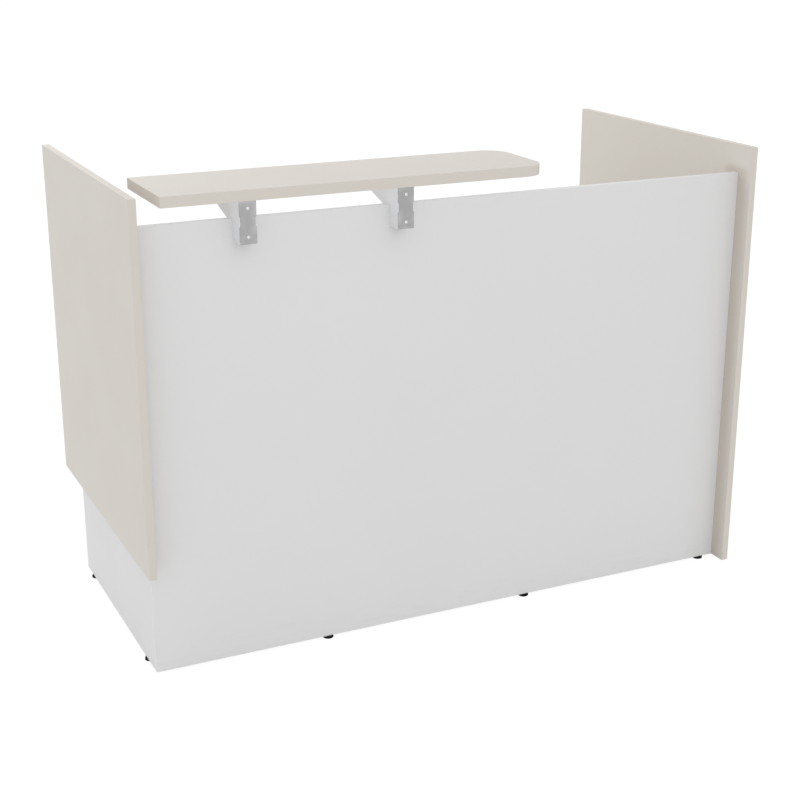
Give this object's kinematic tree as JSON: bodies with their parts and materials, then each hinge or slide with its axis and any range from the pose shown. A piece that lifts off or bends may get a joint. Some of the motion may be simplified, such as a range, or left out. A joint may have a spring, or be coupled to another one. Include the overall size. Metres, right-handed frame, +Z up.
{
  "type": "reception desk",
  "caption": "Straight reception desk with a full front panel, two end panels, an inner worktop, a raised counter shelf on steel brackets, and screw-adjustable levelling feet.",
  "frame": {"origin": "on the floor, under the middle of the desk's outline", "axes": "+X to the visitor's right along the front panel, +Y from the visitor's side to the staff's side, +Z up"},
  "size_m": [1.6405, 0.814, 1.15],
  "materials": {
    "white_board": "white melamine-faced board, satin",
    "cream_board": "cream melamine-faced board, satin",
    "bracket_silver": "silver powder coat",
    "bracket_plate": "grey metallic coat",
    "angle_steel": "zinc-plated steel",
    "screw_zinc": "bright zinc",
    "foot_plastic": "black moulded plastic",
    "foot_steel": "zinc-plated steel"
  },
  "bodies": {
    "desk": {"front_panel": "white_board", "left_leg_panel": "white_board", "left_end_panel": "cream_board", "right_end_panel": "cream_board", "worktop": "cream_board", "counter_shelf": "cream_board", "front_rail": "angle_steel", "right_rail": "angle_steel", "leg_corner_angle": "angle_steel", "end_corner_angle": "angle_steel", "upper_corner_angle": "angle_steel", "left_bracket_arm": "bracket_silver", "left_bracket_plate": "bracket_plate", "right_bracket_arm": "bracket_silver", "right_bracket_plate": "bracket_plate", "front_rail_wall_screw_1": "screw_zinc", "front_rail_wall_screw_2": "screw_zinc", "front_rail_top_screw_1": "screw_zinc", "front_rail_top_screw_2": "screw_zinc", "right_rail_wall_screw_1": "screw_zinc", "right_rail_wall_screw_2": "screw_zinc", "right_rail_top_screw_1": "screw_zinc", "right_rail_top_screw_2": "screw_zinc", "leg_corner_angle_panel_screw": "screw_zinc", "leg_corner_angle_side_screw": "screw_zinc", "end_corner_angle_panel_screw": "screw_zinc", "end_corner_angle_side_screw": "screw_zinc", "upper_corner_angle_panel_screw": "screw_zinc", "upper_corner_angle_side_screw": "screw_zinc", "leg_screw_front": "screw_zinc", "leg_screw_rear": "screw_zinc", "left_bracket_upper_screw": "screw_zinc", "left_bracket_panel_screw": "screw_zinc", "left_bracket_shelf_screw_front": "screw_zinc", "left_bracket_shelf_screw_rear": "screw_zinc", "right_bracket_upper_screw": "screw_zinc", "right_bracket_panel_screw": "screw_zinc", "right_bracket_shelf_screw_front": "screw_zinc", "right_bracket_shelf_screw_rear": "screw_zinc", "foot_front_left_insert": "foot_steel", "foot_front_middle_insert": "foot_steel", "foot_front_right_insert": "foot_steel", "foot_leg_front_insert": "foot_steel", "foot_leg_rear_insert": "foot_steel", "foot_end_front_insert": "foot_steel", "foot_end_rear_insert": "foot_steel"},
    "foot_front_left": {"foot_front_left_pad": "foot_plastic"},
    "foot_front_left_screw": {"foot_front_left_spindle": "foot_steel"},
    "foot_front_middle": {"foot_front_middle_pad": "foot_plastic"},
    "foot_front_middle_screw": {"foot_front_middle_spindle": "foot_steel"},
    "foot_front_right": {"foot_front_right_pad": "foot_plastic"},
    "foot_front_right_screw": {"foot_front_right_spindle": "foot_steel"},
    "foot_leg_front": {"foot_leg_front_pad": "foot_plastic"},
    "foot_leg_front_screw": {"foot_leg_front_spindle": "foot_steel"},
    "foot_leg_rear": {"foot_leg_rear_pad": "foot_plastic"},
    "foot_leg_rear_screw": {"foot_leg_rear_spindle": "foot_steel"},
    "foot_end_front": {"foot_end_front_pad": "foot_plastic"},
    "foot_end_front_screw": {"foot_end_front_spindle": "foot_steel"},
    "foot_end_rear": {"foot_end_rear_pad": "foot_plastic"},
    "foot_end_rear_screw": {"foot_end_rear_spindle": "foot_steel"}
  },
  "joints": [
    {"name": "foot_front_left_lift", "type": "slide", "parent": "desk", "child": "foot_front_left", "axis": [0, 0, -1], "range_m": [0, 0.01]},
    {"name": "foot_front_left_turn", "type": "hinge", "parent": "foot_front_left", "child": "foot_front_left_screw", "pos_m": [-0.357, -0.348, 0], "axis": [0, 0, -1], "range_deg": [0, 2881]},
    {"name": "foot_front_middle_lift", "type": "slide", "parent": "desk", "child": "foot_front_middle", "axis": [0, 0, -1], "range_m": [0, 0.01]},
    {"name": "foot_front_middle_turn", "type": "hinge", "parent": "foot_front_middle", "child": "foot_front_middle_screw", "pos_m": [0.2015, -0.348, 0], "axis": [0, 0, -1], "range_deg": [0, 2881]},
    {"name": "foot_front_right_lift", "type": "slide", "parent": "desk", "child": "foot_front_right", "axis": [0, 0, -1], "range_m": [0, 0.01]},
    {"name": "foot_front_right_turn", "type": "hinge", "parent": "foot_front_right", "child": "foot_front_right_screw", "pos_m": [0.76, -0.348, 0], "axis": [0, 0, -1], "range_deg": [0, 2881]},
    {"name": "foot_leg_front_lift", "type": "slide", "parent": "desk", "child": "foot_leg_front", "axis": [0, 0, -1], "range_m": [0, 0.01]},
    {"name": "foot_leg_front_turn", "type": "hinge", "parent": "foot_leg_front", "child": "foot_leg_front_screw", "pos_m": [-0.791, -0.272, 0], "axis": [0, 0, -1], "range_deg": [0, 2881]},
    {"name": "foot_leg_rear_lift", "type": "slide", "parent": "desk", "child": "foot_leg_rear", "axis": [0, 0, -1], "range_m": [0, 0.01]},
    {"name": "foot_leg_rear_turn", "type": "hinge", "parent": "foot_leg_rear", "child": "foot_leg_rear_screw", "pos_m": [-0.791, 0.241, 0], "axis": [0, 0, -1], "range_deg": [0, 2881]},
    {"name": "foot_end_front_lift", "type": "slide", "parent": "desk", "child": "foot_end_front", "axis": [0, 0, -1], "range_m": [0, 0.01]},
    {"name": "foot_end_front_turn", "type": "hinge", "parent": "foot_end_front", "child": "foot_end_front_screw", "pos_m": [0.809, -0.272, 0], "axis": [0, 0, -1], "range_deg": [0, 2881]},
    {"name": "foot_end_rear_lift", "type": "slide", "parent": "desk", "child": "foot_end_rear", "axis": [0, 0, -1], "range_m": [0, 0.01]},
    {"name": "foot_end_rear_turn", "type": "hinge", "parent": "foot_end_rear", "child": "foot_end_rear_screw", "pos_m": [0.809, 0.241, 0], "axis": [0, 0, -1], "range_deg": [0, 2881]}
  ],
  "couplings": [
    {"joint": "foot_front_left_turn", "follows": "foot_front_left_lift", "rad_per_m": 5026.5},
    {"joint": "foot_front_middle_turn", "follows": "foot_front_middle_lift", "rad_per_m": 5026.5},
    {"joint": "foot_front_right_turn", "follows": "foot_front_right_lift", "rad_per_m": 5026.5},
    {"joint": "foot_leg_front_turn", "follows": "foot_leg_front_lift", "rad_per_m": 5026.5},
    {"joint": "foot_leg_rear_turn", "follows": "foot_leg_rear_lift", "rad_per_m": 5026.5},
    {"joint": "foot_end_front_turn", "follows": "foot_end_front_lift", "rad_per_m": 5026.5},
    {"joint": "foot_end_rear_turn", "follows": "foot_end_rear_lift", "rad_per_m": 5026.5}
  ]
}
